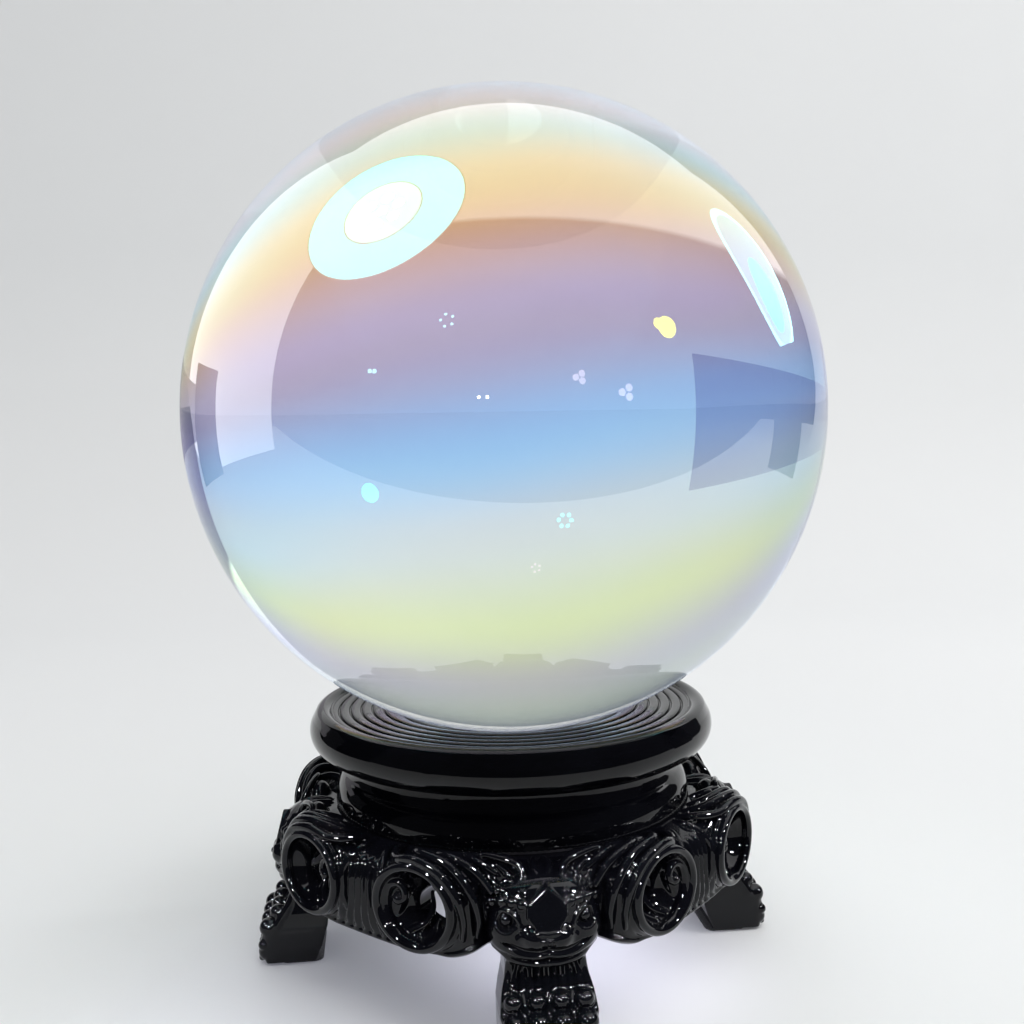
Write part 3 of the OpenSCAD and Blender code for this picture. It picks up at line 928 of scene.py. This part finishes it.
def rounded_pad(low, high):
    """A flat pad with rounded corners and softened edges, between two corners in millimetres."""
    half = (high - low)[:2] / 2
    middle = (high + low)[:2] / 2
    corner = 2.0
    outline = []
    for cx, cy, start in ((1, 1, 0), (-1, 1, 90), (-1, -1, 180), (1, -1, 270)):
        at = (middle[0] + cx * (half[0] - corner), middle[1] + cy * (half[1] - corner))
        outline += arc(at[0], at[1], corner, start, start + 90, 8)
    outline = np.array(outline)
    rings = []
    for inset, z in ((0.25, 0.0), (0.0, 0.15), (0.0, PAD_T - 0.15), (0.2, PAD_T)):
        shrink = 1 - inset / half
        xy = middle + (outline - middle) * shrink
        rings.append(np.column_stack([xy, np.full(len(xy), z)]))
    points = np.vstack(rings) * MM
    n = len(outline)
    last = (len(rings) - 1) * n
    ends = [tuple(reversed(range(n))), tuple(range(last, last + n))]
    mesh = mesh_of("felt_pad", points.tolist(), ends + joined_rings(len(rings), n))
    mesh.shade_smooth()
    mesh.set_sharp_from_angle(angle=math.radians(50))
    return mesh


for node in PAD_NODES:
    place("felt_" + node, rounded_pad(*box_mm(node)), felt_black, "stand", [node])

# the hidden pieces keep their CAD meshes
HIDDEN = {"tie_ring": resin, "dish_screws": steel, "leg_screws": steel, "apron_pins": steel}
for node, material in HIDDEN.items():
    for slot in frame["nodes"][node].material_slots:
        slot.material = material

# ---- floor, backdrop, light and camera, in metres ----

WALL_Y = 0.75
WALL_TOP = 1.4
SWEEP_R = 0.3
SWEEP_X = 1.1
# the flat floor outside the sweep, and the line where the sweep begins
EDGE_Y = -0.27
SIDE_X = 4
FRONT_X = 3
FRONT_Y = -4
BACK_Y = 3
MIDDLE = Vector((0, 0, BALL_Z * MM))
STUDIO_TURN = Matrix.Rotation(COATING_TURN, 3, "Z")


def away(direction, distance):
    """The place at a distance from the ball's centre, in a direction of the turned studio."""
    return MIDDLE + STUDIO_TURN @ Vector(direction).normalized() * distance


def plain(name, colour, rough):
    """A plain material of one colour with the faintest patches."""
    material, tree, shader = new_material(name)
    paint(tree, shader, noise(tree, 3.0), tuple(c * 0.985 for c in colour), colour)
    shader.inputs["Roughness"].default_value = rough
    shader.inputs["Specular IOR Level"].default_value = 0.2
    return material


def staged(name, mesh, material):
    """A piece of the stage made of a mesh."""
    mesh.materials.append(material)
    piece = bpy.data.objects.new(name, mesh)
    bpy.context.scene.collection.objects.link(piece)
    return piece


def sheet_between(name, corners, material):
    """A flat sheet of the stage between four corners."""
    return staged(name, mesh_of(name, corners, [(0, 1, 2, 3)]), material)


floor_white = plain("floor_white", (0.86, 0.87, 0.88), 0.6)


def sweep(name, material):
    """Floor and back wall in one sheet with a wide curve between them."""
    line = [(EDGE_Y, 0.0), (0.0, 0.0), (WALL_Y - SWEEP_R, 0.0)]
    line += arc(WALL_Y - SWEEP_R, SWEEP_R, SWEEP_R, -84, 0, 24)
    line.append((WALL_Y, WALL_TOP))
    points = [(x, y, z) for y, z in line for x in (-SWEEP_X, SWEEP_X)]
    faces = [(2 * i, 2 * i + 1, 2 * i + 3, 2 * i + 2) for i in range(len(line) - 1)]
    mesh = mesh_of(name, points, faces)
    mesh.shade_smooth()
    staged(name, mesh, material)


sweep("floor_and_wall", floor_white)
front = [(-FRONT_X, FRONT_Y, 0), (FRONT_X, FRONT_Y, 0), (FRONT_X, EDGE_Y, 0), (-FRONT_X, EDGE_Y, 0)]
sheet_between("floor_front", front, floor_white).visible_glossy = False
for name, x, reach in (("left", -SWEEP_X, -SIDE_X), ("right", SWEEP_X, SIDE_X)):
    side = [(x, EDGE_Y, 0), (reach, EDGE_Y, 0), (reach, BACK_Y, 0), (x, BACK_Y, 0)]
    sheet_between("floor_" + name, side, floor_white)


def flag(name, start, end, distance, low, high, material):
    """An upright card between two angles from the back of the turned studio, in degrees.

    It shows only in reflections and through glass.
    """
    corners = []
    for angle in (start, end):
        a = math.radians(angle) - COATING_TURN
        corners.append((distance * math.sin(a), distance * math.cos(a)))
    (x0, y0), (x1, y1) = corners
    card = sheet_between(name, [(x0, y0, low), (x1, y1, low), (x1, y1, high), (x0, y0, high)], material)
    card.visible_camera = False
    card.visible_diffuse = False
    card.visible_shadow = False
    return card


dark_card = plain("dark_card", (0.035, 0.036, 0.04), 0.9)
grey_card = plain("grey_card", (0.52, 0.50, 0.54), 0.9)
flag("card_left", -75, -58, 0.50, 0.04, 0.215, dark_card)
flag("card_window", -60, -12, 0.52, 0.105, 0.185, grey_card)
flag("card_right", 68, 86, 0.5, 0.02, 0.24, dark_card)


def hung(name, kind, power, colour, place_at, aim):
    """A lamp at a place that faces the aim and can't be seen itself, not even through the glass."""
    light = bpy.data.objects.new(name, bpy.data.lights.new(name, kind))
    bpy.context.scene.collection.objects.link(light)
    light.data.energy = power
    light.data.color = colour
    light.location = place_at
    light.rotation_euler = (Vector(aim) - light.location).to_track_quat("-Z", "Y").to_euler()
    light.visible_camera = False
    light.visible_transmission = False
    return light


def lamp(name, direction, distance, size, power, colour, aim=MIDDLE):
    """A soft round lamp in a direction from the ball's centre, facing the aim."""
    light = hung(name, "AREA", power, colour, away(direction, distance), aim)
    light.data.shape = "DISK"
    light.data.size = size
    return light


for light in (
    lamp("ceiling", (0.2, -0.3, 1.0), 1.3, 0.9, 3.3, (1.0, 0.985, 0.975)),
    lamp("wall_wash", (0.9, -0.15, 0.8), 1.1, 0.6, 3.2, (1.0, 0.995, 0.98), aim=(0.5, 0.6, 0.15)),
):
    light.visible_glossy = False

# Small hard lamps that light only the carving and give its lacquer crisp white highlights.
carving = bpy.data.collections.new("carving")
for piece in bpy.context.scene.objects:
    if piece.type == "MESH" and piece.name.startswith("carved_"):
        carving.objects.link(piece)
# direction, then radius
STAND_LAMPS = [
    (-0.62, -0.80, 0.75, 0.034), (0.45, -0.80, 0.95, 0.034), (-0.12, -1.0, 0.42, 0.024),
    (0.95, -0.30, 0.55, 0.034), (-1.0, -0.15, 0.70, 0.034)
]
STAND_LAMP_GLOW = 1100.0
STAND_LAMP_DISTANCE = 1.2
for i, (x, y, z, radius) in enumerate(STAND_LAMPS):
    power = STAND_LAMP_GLOW * (math.pi * radius) ** 2
    light = lamp(f"stand_lamp_{i}", (x, y, z), STAND_LAMP_DISTANCE, 2 * radius, power, (0.96, 0.97, 1.0))
    light.light_linking.receiver_collection = carving

# the bright ceiling of the room and its window, as the ball mirrors them
SKY_BRIGHT = (2.0, 2.0, 2.05)


def glow(name, colour, strength):
    """A material that only glows."""
    material, tree, plain_shader = new_material(name)
    tree.nodes.remove(plain_shader)
    shader = tree.nodes.new("ShaderNodeEmission")
    shader.inputs["Color"].default_value = (*colour, 1)
    shader.inputs["Strength"].default_value = strength
    tree.links.new(shader.outputs[0], tree.nodes["Material Output"].inputs["Surface"])
    return material


# What shows as a reflection in the ball alone is linked to this collection.
mirrored = bpy.data.collections.new("mirrored_in_the_ball")
mirrored.objects.link(glass_ball)

# Even light from the rest of the ceiling, as strong far away as under the ball.
daylight = hung("daylight", "SUN", 1.0, (1.0, 1.0, 1.0), (0.3, -0.3, 1.0), (0, 0, 0))
daylight.data.angle = math.radians(80)
daylight.visible_glossy = False


def floor_pool(name, start, aim, power, colour, cone):
    """A soft-edged pool of light on the floor, from a low spot lamp; the cone is in degrees."""
    light = hung(name, "SPOT", power, colour, start, aim)
    light.data.spot_size = math.radians(cone)
    light.data.spot_blend = 1.0
    light.data.shadow_soft_size = 0.02
    light.visible_glossy = False
    # the stand casts no shadow in the pool
    light.light_linking.blocker_collection = mirrored


# Light that the ball gathers on the floor: a pale violet pool beside the front leg, a weak one left.
floor_pool("pool_right", (0.12, -0.22, 0.28), (0.014, -0.012, 0), 6.4, (0.87, 0.85, 1.0), 11.5)
floor_pool("pool_left", (-0.15, -0.28, 0.28), (-0.040, -0.040, 0), 1.5, (0.80, 0.80, 1.0), 22)

DISC_SIDES = 64
DISC_GAP = 0.001


def room_lamp(name, direction, distance, discs, width=1.0):
    """A lamp across the room that shows only in the ball, as a reflection.

    It is made of glowing discs in front of one another, as (x, y, radius, material); width narrows them.
    The lowest disc of the round lamp also shows through the glass.
    """
    place_at = away(direction, distance)
    facing = (MIDDLE - place_at).to_track_quat("Z", "Y").to_matrix().to_4x4()
    for i, (x, y, radius, material) in enumerate(discs):
        edge = [(width * (x + radius * math.cos(a)), y + radius * math.sin(a), DISC_GAP * i)
                for a in np.linspace(0, 2 * math.pi, DISC_SIDES, endpoint=False)]
        disc = staged(f"{name}_{i}", mesh_of(name, edge, [tuple(range(DISC_SIDES))]), material)
        disc.matrix_world = Matrix.Translation(place_at) @ facing
        disc.visible_camera = False
        disc.visible_transmission = i == 0 and name == "round_lamp"
        disc.visible_diffuse = False
        disc.visible_shadow = False
        disc.light_linking.receiver_collection = mirrored


def ring_of(count, ring_radius, radius, material):
    """Equal discs in a ring."""
    turn = 2 * math.pi / count
    return [(ring_radius * math.cos(k * turn), ring_radius * math.sin(k * turn), radius, material)
            for k in range(count)]


cyan = glow("lamp_cyan", (0.15, 0.9, 1.0), 7.5)
pale = glow("lamp_pale", (0.4, 0.95, 1.0), 7.0)
edge_line = glow("lamp_edge", (0.5, 0.6, 0.6), 1.5)
bright = glow("lamp_bright", (1.0, 1.0, 1.0), 24.0)
yellow = glow("lamp_yellow", (1.0, 0.95, 0.0), 9.0)
blue = glow("lamp_blue", (0.55, 0.85, 1.0), 3.6)
pink = glow("lamp_pink", (1.0, 0.8, 0.95), 3.0)
dots = [(0, 0, 0.015, bright)] + ring_of(6, 0.047, 0.016, bright)
rims = [(0, 0, 0.238, edge_line), (0, 0, 0.234, cyan), (0, 0, 0.113, edge_line), (0, 0, 0.110, pale)]
room_lamp("round_lamp", (-0.487, -0.237, 0.841), 0.62, rims + dots)
room_lamp("side_lamp", (0.85, 0.28, 0.446), 0.62,
          [(0, 0, 0.175, pale), (0, 0, 0.155, blue), (0.02, -0.04, 0.085, cyan)], 0.62)
room_lamp("yellow_lamp", (0.761, -0.525, 0.382), 0.9, [(0, 0, 0.048, yellow), (0.04, 0.02, 0.026, yellow)])
room_lamp("cyan_lamp", (-0.613, -0.708, -0.351), 0.3, [(0, 0, 0.0135, cyan)])
# small lamps, each a ring of dots: direction, distance, count, ring radius, dot radius, glow
SMALL_LAMPS = [
    ((-0.279, -0.841, 0.464), 0.9, 5, 0.03, 0.007, pale),
    ((-0.111, -0.991, 0.077), 0.9, 2, 0.02, 0.008, bright),
    ((0.249, -0.848, -0.468), 0.2, 6, 0.0055, 0.0018, cyan),
    ((0.39, -0.905, 0.169), 0.9, 3, 0.02, 0.016, pink),
    ((0.613, -0.785, 0.087), 0.9, 3, 0.024, 0.018, pink),
    ((0.109, -0.791, -0.603), 0.145, 5, 0.0022, 0.0008, pink),
    ((-0.646, -0.732, 0.214), 0.9, 2, 0.012, 0.011, pale)
]
for i, (direction, distance, count, ring_radius, radius, material) in enumerate(SMALL_LAMPS):
    room_lamp(f"small_lamp_{i}", direction, distance, ring_of(count, ring_radius, radius, material))

# a tall bright window on the left that meets the bright ceiling, seen only in the ball
window = flag("window", -101, -42, 1.0, 0.0, 4.0, glow("lamp_window", SKY_BRIGHT, 1.0))
window.visible_transmission = False
window.light_linking.receiver_collection = mirrored

# The world is a pale studio to the camera and through glass, a softer fill for plain surfaces, and in
# reflections a dark room with a bright ceiling that reaches down behind the ball.
world = bpy.data.worlds.new("studio")
bpy.context.scene.world = world
world.use_nodes = True
nodes = world.node_tree.nodes
links = world.node_tree.links
path = nodes.new("ShaderNodeLightPath")
coords = nodes.new("ShaderNodeTexCoord")
ceiling = nodes.new("ShaderNodeVectorMath")
ceiling.operation = "DOT_PRODUCT"
ceiling.inputs[1].default_value = STUDIO_TURN @ Vector((-0.03, 0.543, 1.0))
links.new(coords.outputs["Generated"], ceiling.inputs[0])
sky = nodes.new("ShaderNodeValToRGB")
sky.color_ramp.elements[0].position = 0.65
sky.color_ramp.elements[0].color = (0.035, 0.036, 0.04, 1)
sky.color_ramp.elements[1].position = 0.68
sky.color_ramp.elements[1].color = (*SKY_BRIGHT, 1)
links.new(ceiling.outputs["Value"], sky.inputs["Fac"])


def mixed(a, b, factor):
    """Two colours or colour outputs mixed by a factor output."""
    node = nodes.new("ShaderNodeMix")
    node.data_type = "RGBA"
    for name, value in (("A", a), ("B", b)):
        if isinstance(value, tuple):
            node.inputs[name].default_value = (*value, 1)
        else:
            links.new(value, node.inputs[name])
    links.new(factor, node.inputs["Factor"])
    return node.outputs["Result"]


fill = mixed((0.86, 0.88, 0.88), (0.325, 0.328, 0.325), path.outputs["Is Diffuse Ray"])
studio = mixed(fill, sky.outputs["Color"], path.outputs["Is Glossy Ray"])
links.new(studio, nodes["Background"].inputs["Color"])

CAMERA_DISTANCE = 0.2625
CAMERA_Z = 0.1227
CAMERA_TURN = math.radians(-6.5)
CAMERA_YAW = -0.005
CAMERA_PITCH = -0.069
CAMERA_ROLL = -0.02
camera_data = bpy.data.cameras.new("camera")
camera_data.sensor_width = 36
camera_data.lens = 38.1
camera_data.clip_start = 0.005
camera = bpy.data.objects.new("camera", camera_data)
bpy.context.scene.collection.objects.link(camera)
aim = Matrix.Rotation(CAMERA_TURN + CAMERA_YAW, 4, "Z")
aim = aim @ Matrix.Rotation(math.pi / 2 + CAMERA_PITCH, 4, "X") @ Matrix.Rotation(CAMERA_ROLL, 4, "Z")
place_at = Matrix.Rotation(CAMERA_TURN, 4, "Z") @ Vector((0, -CAMERA_DISTANCE, CAMERA_Z))
camera.matrix_world = Matrix.Translation(place_at) @ aim
bpy.context.scene.camera = camera
bpy.context.scene.view_settings.view_transform = "Standard"
